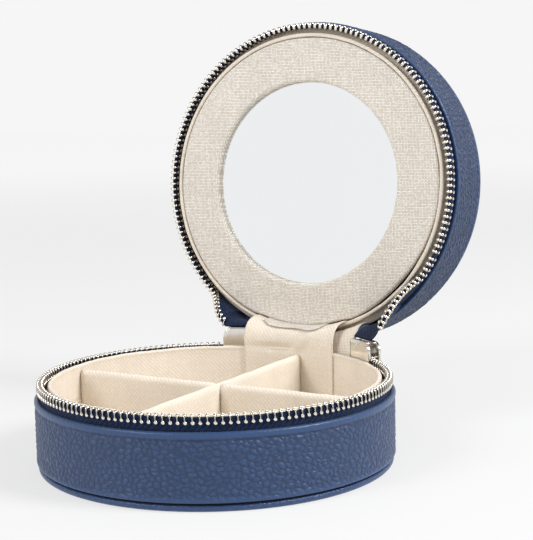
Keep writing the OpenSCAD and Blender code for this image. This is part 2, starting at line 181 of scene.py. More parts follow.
def make_studio():
    """A pale floor that meets an even pale background, one soft key light and a weak fill."""
    scene = bpy.context.scene
    scene.view_settings.view_transform = "Standard"
    world = bpy.data.worlds.new("studio")
    world.use_nodes = True
    tree = world.node_tree
    background = tree.nodes["Background"]
    background.inputs["Color"].default_value = (1, 1, 1, 1)
    height = node(tree, "SeparateXYZ", {0: node(tree, "TexCoord").outputs["Generated"]}).outputs[2]
    tree.links.new(ranged(tree, height, 0.12, 0.6, BACKDROP, 0.42), background.inputs["Strength"])
    scene.world = world

    centre = (0, 0, 0.05)
    area_light("key", (0.66, 0.1, 0.62), centre, 0.35, 6.5)
    area_light("fill", (-0.4, -0.85, 0.75), centre, 0.5, 5.5)

    floor_half = 6
    mesh = bpy.data.meshes.new("floor")
    corners = [(-1, -1), (1, -1), (1, 1), (-1, 1)]
    mesh.from_pydata([(x * floor_half, y * floor_half, 0) for x, y in corners], [], [(0, 1, 2, 3)])
    floor = bpy.data.objects.new("floor", mesh)
    scene.collection.objects.link(floor)
    floor.data.materials.append(floor_material())
    floor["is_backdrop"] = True


# Materials

def node(tree, kind, values=None, **settings):
    """Adds a shader node. A value that is a socket is linked, and any other is set."""
    made = tree.nodes.new("ShaderNode" + kind)
    for name, value in settings.items():
        setattr(made, name, value)
    for key, value in (values or {}).items():
        if isinstance(value, bpy.types.NodeSocket):
            tree.links.new(value, made.inputs[key])
        else:
            made.inputs[key].default_value = value
    return made


def maths(tree, operation, *values):
    return node(tree, "Math", dict(enumerate(values)), operation=operation).outputs[0]


def mixed(tree, share, a, b):
    """Colour between a and b."""
    return node(tree, "Mix", {0: share, 6: a, 7: b}, data_type="RGBA").outputs[2]


def ranged(tree, value, low, high, to_low, to_high):
    """Takes value from the range low to high into another, with soft ends."""
    values = {"Value": value, "From Min": low, "From Max": high, "To Min": to_low, "To Max": to_high}
    return node(tree, "MapRange", values, interpolation_type="SMOOTHSTEP").outputs["Result"]


def noise(tree, where, scale, detail=2.0):
    return node(tree, "TexNoise", {"Vector": where, "Scale": scale, "Detail": detail}).outputs["Fac"]


def bump(tree, height, distance, strength=1.0, normal=None):
    values = {"Height": height, "Distance": distance, "Strength": strength}
    if normal is not None:
        values["Normal"] = normal
    return node(tree, "Bump", values).outputs["Normal"]


def new_material(name, **constants):
    """A Principled material with its even values set on the shader itself."""
    material = bpy.data.materials.new(name)
    material.use_nodes = True
    shader = material.node_tree.nodes["Principled BSDF"]
    for key, value in constants.items():
        shader.inputs[key.replace("_", " ")].default_value = value
    return material, material.node_tree, shader


def link(tree, source, shader, key):
    tree.links.new(source, shader.inputs[key])


def floor_material():
    """Pale paper. It glows a little less near the case, where the lights fall on it."""
    material, tree, shader = new_material("studio_floor", Roughness=1, Specular_IOR_Level=0)
    where = node(tree, "TexCoord").outputs["Object"]
    tint = mixed(tree, noise(tree, where, 3), (0.24, 0.24, 0.24, 1), (0.26, 0.26, 0.26, 1))
    link(tree, tint, shader, "Base Color")
    shader.inputs["Emission Color"].default_value = (1, 1, 1, 1)
    away = node(tree, "VectorMath", {0: where}, operation="LENGTH").outputs["Value"]
    link(tree, ranged(tree, away, 0.1, 2.2, 0.64, BACKDROP - 0.13), shader, "Emission Strength")
    return material


def leather_material():
    """Navy pebbled leather: painted shade darkens the creases, and fine pores lie over the pebbles."""
    material, tree, shader = new_material("navy_leather", Specular_IOR_Level=0.5, Sheen_Weight=0.08)
    where = node(tree, "TexCoord").outputs["Object"]
    grain = node(tree, "Attribute", attribute_name="grain").outputs["Fac"]
    broad = noise(tree, where, 60, 3)
    # Low is the painted shade colour of the creases, and high the colour of the pebble tops.
    low = mixed(tree, broad, (0.009, 0.026, 0.078, 1), (0.011, 0.030, 0.088, 1))
    high = mixed(tree, broad, (0.017, 0.052, 0.145, 1), (0.021, 0.060, 0.165, 1))
    link(tree, mixed(tree, ranged(tree, grain, 0, 0.9, 0, 1), low, high), shader, "Base Color")
    link(tree, ranged(tree, grain, 0, 1, 0.52, 0.38), shader, "Roughness")
    pores = node(tree, "TexVoronoi", {"Vector": where, "Scale": 2600.0}, feature="F1").outputs["Distance"]
    pebbled = bump(tree, grain, 0.25 * MM)
    link(tree, bump(tree, pores, 0.03 * MM, 0.5, pebbled), shader, "Normal")
    return material


def cloth_material(name, pitch, run, thread, hollow_shade_colour, weft_share, rib, unevenness, sheen):
    """Woven cloth. A thread passes over as many neighbours as run says and under as many: 1 makes a
    plain weave, and 2 a twill. Thread is the colour on the threads, and hollow is painted shade between
    them; the weft lies between the two by its share. Rib deepens the painted shade of every second row."""
    material, tree, shader = new_material(
        name, Roughness=0.85, Specular_IOR_Level=0.2, Sheen_Weight=sheen, Sheen_Roughness=0.5)

    def calc(operation, *values):
        return maths(tree, operation, *values)

    def tone_of(key, source, dimensions):
        return node(tree, "TexWhiteNoise", {key: source}, noise_dimensions=dimensions).outputs["Value"]

    flat = node(tree, "UVMap", uv_map="weave").outputs["UV"]
    sway = node(tree, "TexNoise", {"Vector": flat, "Scale": 160.0, "Detail": 1.0}).outputs["Color"]
    shift = node(tree, "VectorMath", {0: sway, 1: (0.5, 0.5, 0.5)}, operation="SUBTRACT").outputs[0]
    moved = node(tree, "VectorMath", {0: shift, 1: (unevenness,) * 3, 2: flat}, operation="MULTIPLY_ADD")
    parts = node(tree, "SeparateXYZ", {0: moved.outputs[0]})
    u, v = (calc("DIVIDE", parts.outputs[i], pitch) for i in (0, 1))
    column, row = calc("FLOOR", u), calc("FLOOR", v)
    warp, weft = (calc("SINE", calc("MULTIPLY", calc("FRACT", w), math.pi)) for w in (u, v))
    step = calc("FLOORED_MODULO", calc("ADD", column, row), 2.0 * run)
    warp_over = calc("LESS_THAN", step, run - 0.5)
    warp_height = calc("MULTIPLY", warp, ranged(tree, weft, 0, 1, 0.55, 1))
    weft_height = calc("MULTIPLY", weft, ranged(tree, warp, 0, 1, 0.45, 0.9))
    height = node(tree, "Mix", {0: warp_over, 2: weft_height, 3: warp_height}).outputs[0]

    cell = node(tree, "CombineXYZ", {0: column, 1: row}).outputs[0]
    fleck = tone_of(0, cell, "2D")
    thread_tone = calc("ADD", tone_of(1, column, "1D"), tone_of(1, row, "1D"))
    second_row = calc("FLOORED_MODULO", row, 2.0)
    depth = calc("SUBTRACT", height, calc("MULTIPLY", fleck, 0.4))
    depth = calc("SUBTRACT", depth, calc("MULTIPLY", second_row, rib))
    cloudy = calc("MULTIPLY_ADD", noise(tree, flat, 90, 3), 0.16, 0.92)
    pale = mixed(tree, ranged(tree, thread_tone, 0.2, 1.8, 0, 1), thread, [c * 0.9 for c in thread[:3]] + [1])
    crossed = mixed(tree, warp_over, mixed(tree, weft_share, pale, hollow_shade_colour), pale)
    # Low places in the weave take the hollow colour: painted shade between the threads.
    colour = mixed(tree, ranged(tree, depth, 0.1, 0.7, 0, 1), hollow_shade_colour, crossed)
    toned = node(tree, "Mix", {0: 1.0, 6: colour, 7: cloudy}, data_type="RGBA", blend_type="MULTIPLY")
    link(tree, toned.outputs[2], shader, "Base Color")
    link(tree, bump(tree, height, 0.1 * MM, 0.7), shader, "Normal")
    return material


def canvas_material():
    return cloth_material(
        "canvas", 0.35 * MM, 2, (1.0, 0.99, 0.965, 1), (0.80, 0.68, 0.53, 1), 0.5, 0, 0.3 * MM, 0.05)


def linen_material():
    return cloth_material(
        "linen", 0.52 * MM, 1, (1.0, 0.99, 0.96, 1), (0.60, 0.53, 0.44, 1), 0, 0.12, 0.3 * MM, 0.05)


def tape_material():
    return cloth_material(
        "zip_tape", 0.45 * MM, 2, (0.018, 0.042, 0.125, 1), (0.003, 0.007, 0.022, 1), 0.5, 0, 0, 0.05)


def metal_material(name, tone, roughness, recess_shade_colour=None):
    """Nickel plate, with faint clouding and fine scratches. Where the point value is low, painted shade in the
    recesses colours it.
    """
    material, tree, shader = new_material(name, Metallic=1.0)
    where = node(tree, "TexCoord").outputs["Object"]
    cloud = noise(tree, where, 300, 3)
    colour = mixed(tree, cloud, tone, [c * 0.93 for c in tone[:3]] + [1])
    if recess_shade_colour:
        grain = node(tree, "Attribute", attribute_name="grain").outputs["Fac"]
        colour = mixed(tree, grain, recess_shade_colour, colour)
    link(tree, colour, shader, "Base Color")
    link(tree, ranged(tree, cloud, 0.2, 0.8, roughness * 0.8, roughness * 1.3), shader, "Roughness")
    drawn = node(tree, "Mapping", {"Vector": where, "Scale": (900, 900, 9000)}).outputs[0]
    link(tree, bump(tree, noise(tree, drawn, 1, 2), 0.004 * MM, 0.4), shader, "Normal")
    return material


def mirror_material():
    """Silvered glass, with the faintest haze."""
    material, tree, shader = new_material("mirror", Metallic=1.0, Specular_IOR_Level=0.5)
    where = node(tree, "TexCoord").outputs["Object"]
    haze = noise(tree, where, 40, 3)
    link(tree, mixed(tree, haze, (0.90, 0.92, 0.93, 1), (0.92, 0.935, 0.945, 1)), shader, "Base Color")
    link(tree, ranged(tree, haze, 0.3, 0.7, 0.01, 0.03), shader, "Roughness")
    return material


def card_material(name, pale, dark):
    """Pressed board, with short fibres in it."""
    material, tree, shader = new_material(name, Roughness=0.9, Specular_IOR_Level=0.2)
    where = node(tree, "TexCoord").outputs["Object"]
    stretched = node(tree, "Mapping", {"Vector": where, "Scale": (1, 1, 4)}).outputs[0]
    fibre = noise(tree, stretched, 1500, 4)
    link(tree, mixed(tree, ranged(tree, fibre, 0.3, 0.7, 0, 1), dark, pale), shader, "Base Color")
    link(tree, bump(tree, fibre, 0.05 * MM, 0.4), shader, "Normal")
    return material


MATERIALS = {
    "leather": leather_material(),
    "canvas": canvas_material(),
    "linen": linen_material(),
    "zip_tape": tape_material(),
    # The teeth's recess colour is painted shade on their stems between the dark tape.
    "zip_teeth": metal_material("zip_teeth", (0.86, 0.81, 0.73, 1), 0.17, (0.12, 0.10, 0.085, 1)),
    "slider": metal_material("slider", (0.80, 0.77, 0.72, 1), 0.14),
    "mirror": mirror_material(),
    # The boards are near-black: painted shade for the dark groove where their edges show.
    "board": card_material("board", (0.03, 0.03, 0.035, 1), (0.012, 0.012, 0.015, 1)),
}


# Shapes

class Shape:
    """Collects grids of points into one mesh. Each point has a flat place in metres, which the weaves
    follow, and a grain height from 0 to 1, which sets the leather's relief and its painted crease shade, and the
    teeth's painted shade."""

    def __init__(self):
        self.points, self.grain, self.quads, self.flats, self.caps = [], [], [], [], []
        self.count = 0

    def grid(self, points, flat=None, grain=None, ring=False, loop=False, ends=False):
        """Adds rows by columns of points. Ring joins the last column to the first, and loop the last
        row to the first. Ends closes the first and the last column of a loop."""
        rows, cols = points.shape[:2]
        index = self.count + np.arange(rows * cols).reshape(rows, cols)
        self.points.append(points.reshape(-1, 3))
        self.grain.append((np.ones((rows, cols)) if grain is None else grain).ravel())
        self.count += rows * cols
        if flat is None:
            flat = np.zeros((rows + loop, cols + ring, 2))
        if ends:
            self.caps += [list(index[:, 0]), list(index[:, -1])]
        if ring:
            index = np.hstack([index, index[:, :1]])
        if loop:
            index = np.vstack([index, index[:1]])
        corners = [(slice(None, -1), slice(None, -1)), (slice(1, None), slice(None, -1)),
                   (slice(1, None), slice(1, None)), (slice(None, -1), slice(1, None))]
        self.quads.append(np.stack([index[c] for c in corners], -1).reshape(-1, 4))
        self.flats.append(np.stack([flat[c] for c in corners], -2).reshape(-1, 4, 2))
        return index

    def faces(self, faces):
        self.caps += [list(f) for f in faces]

    def copies(self, other, moves):
        """Adds another shape once for each move, a function from points to points."""
        points = np.concatenate(other.points)
        for move in moves:
            self.points.append(move(points))
            self.grain.append(np.concatenate(other.grain))
            self.quads += [q + self.count for q in other.quads]
            self.flats += other.flats
            self.caps += [[i + self.count for i in cap] for cap in other.caps]
            self.count += len(points)

    def build(self, name, material):
        """Makes the object, smooth and with its faces outwards."""
        points = np.concatenate(self.points)
        quads = np.concatenate(self.quads)
        corners = np.concatenate([quads.ravel(), np.array([i for cap in self.caps for i in cap], int)])
        sizes = np.concatenate([np.full(len(quads), 4), np.array([len(cap) for cap in self.caps], int)])
        mesh = bpy.data.meshes.new(name)
        mesh.vertices.add(len(points))
        mesh.vertices.foreach_set("co", points.astype(np.float32).ravel())
        mesh.loops.add(len(corners))
        mesh.loops.foreach_set("vertex_index", corners.astype(np.int32))
        mesh.polygons.add(len(sizes))
        mesh.polygons.foreach_set("loop_start", (np.cumsum(sizes) - sizes).astype(np.int32))
        mesh.update(calc_edges=True)
        flats = np.zeros((len(corners), 2))
        flats[:quads.size] = np.concatenate(self.flats).reshape(-1, 2)
        flats[quads.size:] = points[corners[quads.size:]][:, [0, 2]]
        mesh.uv_layers.new(name="weave").data.foreach_set("uv", flats.astype(np.float32).ravel())
        # Stored on the points: leather relief with painted crease shade, and painted shade on the teeth.
        grain = mesh.attributes.new("grain", "FLOAT", "POINT")
        grain.data.foreach_set("value", np.concatenate(self.grain).astype(np.float32))
        work = bmesh.new()
        work.from_mesh(mesh)
        bmesh.ops.recalc_face_normals(work, faces=work.faces)
        work.to_mesh(mesh)
        work.free()
        mesh.polygons.foreach_set("use_smooth", np.ones(len(mesh.polygons), bool))
        mesh.materials.append(MATERIALS[material])
        piece = bpy.data.objects.new(name, mesh)
        bpy.context.scene.collection.objects.link(piece)
        return piece


def place(piece, body, slot, *nodes):
    """Lets a piece ride on a body in place of CAD nodes."""
    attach(piece, body)
    if nodes:
        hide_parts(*nodes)
    return piece


def polar(r, bearing, z):
    """Points from arrays of radius, bearing and height, which may have different shapes."""
    turn = np.radians(bearing)
    r, turn, z = np.broadcast_arrays(r, turn, z)
    return np.stack([r * np.sin(turn), r * np.cos(turn), z], -1)


def in_lid(points, share=1.0):
    """Moves points of a half, given as in the base, into the lid at a share of its opening."""
    y, z = points[..., 1] - HINGE_Y, HALF_H - points[..., 2]
    cosine, sine = np.cos(OPENING * share), np.sin(OPENING * share)
    return np.stack([points[..., 0], HINGE_Y + y * cosine + z * sine, HALF_H - y * sine + z * cosine], -1)


def folded(r, bearing, s, share):
    """Where places of the shut case, with heights s, go as the lid turns through a share of its opening."""
    return in_lid(polar(r, bearing, 2 * HALF_H - s), share)


def in_base(points):
    return points


HALVES = {"base": in_base, "lid": in_lid}


def ease(x, start, end):
    """Goes from 0 to 1 as x goes from start to end, gently at both."""
    t = np.clip((x - start) / (end - start), 0, 1)
    return t * t * (3 - 2 * t)


def hump(x, middle, half_width):
    """1 at middle, falling gently to 0 at half_width either side."""
    return 1 - ease(np.abs(x - middle), 0, half_width)


def ripple(x, period, waves, seed):
    """Gentle unevenness from -1 to 1 that repeats after period."""
    phases = np.random.default_rng(seed).uniform(0, 2 * math.pi, len(waves))
    total = sum(np.sin(2 * math.pi * n * np.asarray(x) / period + p) for n, p in zip(waves, phases))
    return total / len(waves)


def pebbles(u, v, size, period, seed):
    """Height of leather grain at flat places u, v: 0 in a crease and near 1 on top of a pebble."""
    cols, table_rows = round(period / size), 256
    spots = np.random.default_rng(seed).uniform(0.05, 0.95, (table_rows, cols, 2))
    squat = 0.78
    gu, gv = u / period * cols, v / (size * squat)
    lean = 2 * math.pi / cols * np.round(cols / 5)
    gu, gv = gu + 0.3 * np.sin(gv * 1.3 + 0.8 * np.sin(gu * lean)), gv + 0.3 * np.sin(gu * lean + gv * 0.7)
    iu, iv = np.floor(gu).astype(int), np.floor(gv).astype(int)
    first, second = np.full(u.shape, 9.0), np.full(u.shape, 9.0)
    for du in (-1, 0, 1):
        for dv in (-1, 0, 1):
            spot = spots[(iv + dv) % table_rows, (iu + du) % cols]
            far = np.hypot(iu + du + spot[..., 0] - gu, iv + dv + spot[..., 1] - gv)
            second = np.minimum(second, np.maximum(first, far))
            first = np.minimum(first, far)
    return (1 - np.exp(-((second - first) / 0.4) ** 1.3)) * (1 - 0.45 * first ** 2)


def leather_grain(u, v, period, seed):
    """Large pebbles with smaller ones on them."""
    return 0.7 * pebbles(u, v, 2.0 * MM, period, seed) + 0.3 * pebbles(u, v, 1.2 * MM, period, seed + 1)


GRAIN_DEPTH = 0.36 * MM


def arc(middle, radius, start, end, steps):
    """Points [radius, height] of an arc in a half's section. Angles are in degrees, from outwards to up."""
    return [(middle[0] + radius * math.cos(math.radians(a)), middle[1] + radius * math.sin(math.radians(a)))
            for a in np.linspace(start, end, steps)]


def line(a, b, steps):
    """Points from a to just short of b."""
    return [tuple(np.array(a) + (np.array(b) - np.array(a)) * i / steps) for i in range(steps)]


def run_along(points):
    """Distance along a path to each of its points."""
    return np.concatenate([[0], np.cumsum(np.linalg.norm(np.diff(points, axis=0), axis=1))])


def run_of(section):
    """Distance along a closed section to each of its points, and back to the first."""
    return run_along(np.array(section + section[:1]))


def revolved(section, bearings):
    """Radius, bearing and height of a section turned about the case's axis, as arrays."""
    r, z = np.array(section).T
    return np.broadcast_arrays(r[:, None], np.asarray(bearings)[None, :], z[:, None])


def bearings_for(cell, radius=CASE_R):
    """Even bearings all the way round, about a cell apart at the radius."""
    count = round(2 * math.pi * radius / cell)
    return np.arange(count) * 360 / count


def flat_ring(section, bearings, radius):
    """Flat places for a revolved closed section: along the arc, and along the section."""
    around = np.append(bearings, 360) * math.radians(1) * radius
    return np.stack(np.meshgrid(around, run_of(section)), -1)


# Leather

def side_section(cell):
    """Section of the side leather: the outer face in fine steps, a turned top edge and a plain back."""
    inner, outer = CASE_R - LEATHER_T, CASE_R
    foot_round, top_round = 0.8 * MM, 0.6 * MM
    steps = round((LEATHER_TOP - LEATHER_FOOT) / cell)
    face = line((outer, LEATHER_FOOT + foot_round), (outer, LEATHER_TOP - top_round), steps)
    return (arc((outer - foot_round, LEATHER_FOOT + foot_round), foot_round, -90, -10, 4) + face
            + arc((outer - top_round, LEATHER_TOP - top_round), top_round, 0, 90, 6)
            + line((inner + 0.2 * MM, LEATHER_TOP), (inner, LEATHER_TOP - 0.2 * MM), 2)
            + line((inner, LEATHER_TOP - 0.3 * MM), (inner, LEATHER_FOOT), 4))


def make_side_leather(half):
    """Pebbled side of a half. The base's is smooth above a pressed crease, and the lid's nearly all grain.
    Painted shade darkens its creases and the pressed crease, more strongly on the lid.
    """
    cell = 0.36 * MM
    # Per half: smooth band, crease depth, relief, strength of the painted crease shade, and seed.
    band, crease_depth, deepen, painted_shade_strength, seed = {
        "base": (2.2 * MM, 0.22 * MM, 0.9, 1.1, 11),
        "lid": (0.7 * MM, 0.06 * MM, 1.3, 1.4, 23),
    }[half]
    crease_z, crease_half = LEATHER_TOP - band, 0.7 * MM
    bearings = bearings_for(cell)
    section = side_section(cell)
    r, bearing, z = revolved(section, bearings)
    u = np.radians(bearing) * CASE_R
    wave = ripple(bearing, 360, (2, 5, 9), 3) * 0.12 * MM
    outside = ease(r, CASE_R - 0.6 * MM, CASE_R - 0.2 * MM)
    smooth_top = 1 - 0.8 * ease(z, crease_z - 0.2 * MM + wave, crease_z + 0.5 * MM + wave)
    smooth_foot = 0.3 + 0.7 * ease(z, LEATHER_FOOT + 0.4 * MM, LEATHER_FOOT + 2 * MM)
    grain = leather_grain(u, z, 2 * math.pi * CASE_R, seed)
    relief = outside * smooth_top * smooth_foot * deepen
    # Colour value of the leather: painted shade in the creases, deepened on the lid.
    painted_crease_shade = 1 - (1 - grain) * relief * painted_shade_strength
    crease = hump(z, crease_z + wave, crease_half) * outside
    puffed = hump(z, crease_z + 1.25 * MM, 1.1 * MM) * outside * 0.06 * MM
    r = r - GRAIN_DEPTH * (1 - grain) * relief - crease_depth * crease + puffed
    points = HALVES[half](polar(r, bearing, z))
    flat = flat_ring(section, bearings, CASE_R)
    shape = Shape()
    # The pressed crease's colour is darkened further by painted shade.
    shape.grid(points, flat, painted_crease_shade * (1 - 0.6 * crease), ring=True, loop=True)
    return place(shape.build(f"{half}_side_cover", "leather"), half, "leather", f"{half}_side_leather")


def disc_rings(shape, levels, points_at, grain_at):
    """Fills a disc with rings of points, whose number doubles outwards so that the cells stay even.
    Levels are (radius, count) from the middle out. Returns the outermost ring's indices."""
    last = None
    for radius, count in levels:
        bearings = np.arange(count) * 360 / count
        start = shape.count
        shape.points.append(points_at(radius, bearings))
        shape.grain.append(grain_at(radius, bearings))
        shape.count += count
        ring = start + np.arange(count)
        after = np.roll(ring, -1)
        if last is None:
            shape.faces([ring])
        elif len(last) == count:
            shape.faces(np.stack([last, ring, after, np.roll(last, -1)], -1))
        else:
            middle = ring[1::2]
            shape.faces(np.stack([last, ring[::2], middle], -1))
            shape.faces(np.stack([last, middle, np.roll(last, -1)], -1))
            shape.faces(np.stack([np.roll(last, -1), middle, np.roll(ring[::2], -1)], -1))
        last = ring
    return last


def make_panel(half):
    """Leather-covered outer panel with a rounded rim. Its grain is pressed in from its outer face."""
    rim, top_round = 1.1 * MM, 0.6 * MM
    cell = 0.5 * MM
    seed = {"base": 41, "lid": 53}[half]
    face_r = PANEL_R - rim

    def grain_at(radius, bearings):
        spot = polar(radius, bearings, 0)
        return leather_grain(spot[..., 0] + 0.2, spot[..., 1] + 0.2, 0.4, seed)

    def face_at(radius, bearings):
        depth = GRAIN_DEPTH * (1 - grain_at(radius, bearings)) * (1 - ease(radius, face_r - 1 * MM, face_r))
        return HALVES[half](polar(radius, bearings, 0.02 * MM + depth))

    def count_at(radius):
        return 80 * 2 ** sum(radius >= doubling * MM for doubling in (6.8, 13.6, 27.2))

    shape = Shape()
    radii = np.linspace(1 * MM, face_r, round(face_r / cell))
    outer = disc_rings(shape, [(r, count_at(r)) for r in radii], face_at, grain_at)
    edge = (arc((face_r, rim), rim, -80, 0, 9)
            + line((PANEL_R, rim), (PANEL_R, PANEL_T - top_round), 2)[1:]
            + arc((PANEL_R - top_round, PANEL_T - top_round), top_round, 0, 90, 6)
            + [(PANEL_R - 5 * MM, PANEL_T)])
    bearings = np.arange(len(outer)) * 360 / len(outer)
    r, bearing, z = revolved(edge, bearings)
    # Unevenness of the rim, which dents it and, as its colour value, paints shade into the dents.
    uneven = 0.5 + 0.5 * pebbles(np.radians(bearing) * PANEL_R, z, 1.4 * MM, 2 * math.pi * PANEL_R, seed)
    index = shape.grid(HALVES[half](polar(r - 0.05 * MM * (1 - uneven), bearing, z)), grain=uneven, ring=True)
    first = index[0][:-1]
    shape.faces(np.stack([outer, first, np.roll(first, -1), np.roll(outer, -1)], -1))
    shape.faces([index[-1][:-1]])
    node_name = {"base": "base_bottom_leather", "lid": "lid_top_leather"}[half]
    return place(shape.build(f"{half}_panel_cover", "leather"), half, "leather", node_name)


# Lining and dividers

def make_wall_lining(half):
    """Canvas lining of a half's wall, with a soft rolled top edge."""
    foot = LINING_FOOT if half == "base" else LINING_FOOT - 0.9 * MM
    inner, outer = LINING_R - LINING_T, LINING_R
    roll = 0.66 * MM
    ledge_z, ledge_r = LEATHER_TOP + 0.12 * MM, TAPE_R - TAPE_T / 2 - 0.05 * MM
    middle = (PLATE_IN_R - 0.06 * MM - roll, LINING_TOP - roll)
    roll_foot, ledge_top = LINING_TOP - 2.2 * MM, ledge_z + 0.15 * MM
    section = (line((inner, foot), (inner, roll_foot), 14)
               + line((inner, roll_foot), (inner - 0.12 * MM, middle[1]), 3)
               + arc(middle, roll, 180, -30, 12)
               + line((outer, LINING_TOP - 1.6 * MM), (outer + 0.02 * MM, ledge_top + 0.1 * MM), 3)
               + line((outer + 0.1 * MM, ledge_top), (ledge_r, ledge_top), 3)
               + line((ledge_r, ledge_top), (ledge_r, ledge_z), 1)
               + line((ledge_r, ledge_z), (outer, ledge_z), 3)
               + line((outer, ledge_z), (outer, foot), 4))
    bearings = bearings_for(0.8 * MM, LINING_R)
    r, bearing, z = revolved(section, bearings)
    high = ease(z, LINING_TOP - 3 * MM, LINING_TOP - 1 * MM)
    inside = ease(-r, -(LINING_R - 0.2 * MM), -(LINING_R - 0.6 * MM))
    soft = ripple(bearing, 360, (3, 7, 11, 17), 5)
    fine = ripple(bearing, 360, (23, 31, 41, 53), 6)
    at_strap = 1 - ease(np.abs((bearing + 180) % 360 - 180), 21, 24)
    r = r - inside * (0.10 * soft + 0.05 * fine - 0.02) * MM * (1 - at_strap)
    z = z + high * (0.14 * soft + 0.08 * fine) * MM
    flat = flat_ring(section, bearings, inner)
    shape = Shape()
    shape.grid(HALVES[half](polar(r, bearing, z)), flat, ring=True, loop=True)
    return place(shape.build(f"{half}_lining", "canvas"), half, "canvas", f"{half}_wall_lining")


def make_floor_lining():
    """Padded canvas floor, which sinks a little towards its edge."""
    r_edge = LINING_R - 0.15 * MM
    radii = np.linspace(1.5 * MM, r_edge, 44)
    bearings = bearings_for(1.1 * MM, LINING_R)
    r, bearing = np.meshgrid(radii, bearings, indexing="ij")
    spot = polar(r, bearing, 0)
    sink = 0.12 * MM * ease(r, r_edge - 2 * MM, r_edge)
    weave_sway = 0.02 * MM * ripple(spot[..., 0] + spot[..., 1], 0.1, (3, 7), 8)
    top = FLOOR_Z1 - 0.04 * MM - sink + weave_sway
    shape = Shape()
    flat = np.concatenate([spot[..., :2], spot[:, :1, :2]], 1)
    upper = shape.grid(polar(r, bearing, top), flat, ring=True)
    lower = shape.grid(polar(r[-1:], bearing[-1:], FLOOR_Z0), ring=True, flat=flat[-1:])
    ring, under = upper[-1][:-1], lower[0][:-1]
    shape.faces([upper[0][:-1]])
    shape.faces(np.stack([ring, under, np.roll(under, -1), np.roll(ring, -1)], -1))
    shape.faces([under])
    floor = place(shape.build("base_floor_cloth", "canvas"), "base", "canvas", "base_floor_lining")
    return floor


def divider_section(foot, top, half_t, steps):
    """Half-turned section of a divider, as [sideways, height]: a wall with a soft round top."""
    return (line((-half_t, foot), (-half_t, top - half_t), steps)
            + [(-half_t * math.cos(a), top - half_t + half_t * math.sin(a))
               for a in np.linspace(0, math.pi, 11)]
            + line((half_t, top - half_t), (half_t, foot), steps)[1:] + [(half_t, foot)])


def make_divider(name, node_name, place_at, crossing, notch_above, seed):
    """A canvas-covered divider. It is worked out along x, and place_at turns it into the case. The
    notch at the crossing is above or below the middle of its height."""
    low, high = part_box(node_name)
    along = 0 if high.x - low.x > high.y - low.y else 1
    start, end = low[along], high[along]
    middle = crossing[along]
    half_t = (high[1 - along] - low[1 - along]) / 2
    foot = LINING_FOOT
    half_way = (foot + DIVIDER_TOP) / 2
    gap = half_t + 0.05 * MM
    stations = []
    for a, b, count in ((start, middle - gap, 40), (middle - gap, middle + gap, 4), (middle + gap, end, 40)):
        stations += [(x, a >= middle - gap and b <= middle + gap) for x in np.linspace(a, b, count)]
    columns = []
    for x, crossed in stations:
        foot_here = half_way if crossed and not notch_above else foot
        top_here = half_way if crossed and notch_above else DIVIDER_TOP
        section = np.array(divider_section(foot_here, top_here, half_t, 12))
        end_soft = 1 - 0.10 * (hump(x, start, 3 * MM) + hump(x, end, 3 * MM))
        uneven = 0.11 * MM * ripple(x, 0.1, (2, 5, 9), seed) * ease(section[:, 1], 18 * MM, 24 * MM)
        bulge = 1 + 0.03 * np.sin(np.pi * (section[:, 1] - foot) / (DIVIDER_TOP - foot))
        sway = 0.12 * MM * ripple(x, 0.1, (1, 3), seed + 1)
        round_end = 1 - 0.5 * (hump(x, start, 0.8 * MM) + hump(x, end, 0.8 * MM))
        sideways = sway * round_end + section[:, 0] * end_soft * bulge * (0.4 + 0.6 * round_end)
        columns.append(np.stack([np.full(len(section), x), sideways, section[:, 1] + uneven], -1))
    points = np.stack(columns, 1)
    run = run_along(points[:, 0])
    flat = np.stack(np.meshgrid([x for x, _ in stations], np.append(run, run[-1] + 2 * half_t)), -1)
    shape = Shape()
    shape.grid(place_at(points), flat, loop=True, ends=True)
    return place(shape.build(name, "canvas"), "base", "canvas", node_name)


def make_dividers():
    long_low, long_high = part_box("divider_long")
    cross_low, cross_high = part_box("divider_cross")
    crossing = ((cross_low.x + cross_high.x) / 2, (long_low.y + long_high.y) / 2)

    def along_x(points):
        return points + np.array([0, crossing[1], 0])

    def along_y(points):
        return np.stack([crossing[0] - points[..., 1], points[..., 0], points[..., 2]], -1)

    make_divider("long_divider", "divider_long", along_x, crossing, True, 31)
    make_divider("cross_divider", "divider_cross", along_y, crossing, False, 37)


# Mirror and its surround

SURROUND_T = 2.4 * MM
MIRROR_HOLE_R = 34.4 * MM
SURROUND_R = 49.7 * MM
SURROUND_TOP = HALF_H - 1.2 * MM
STRAP_TURN = 20


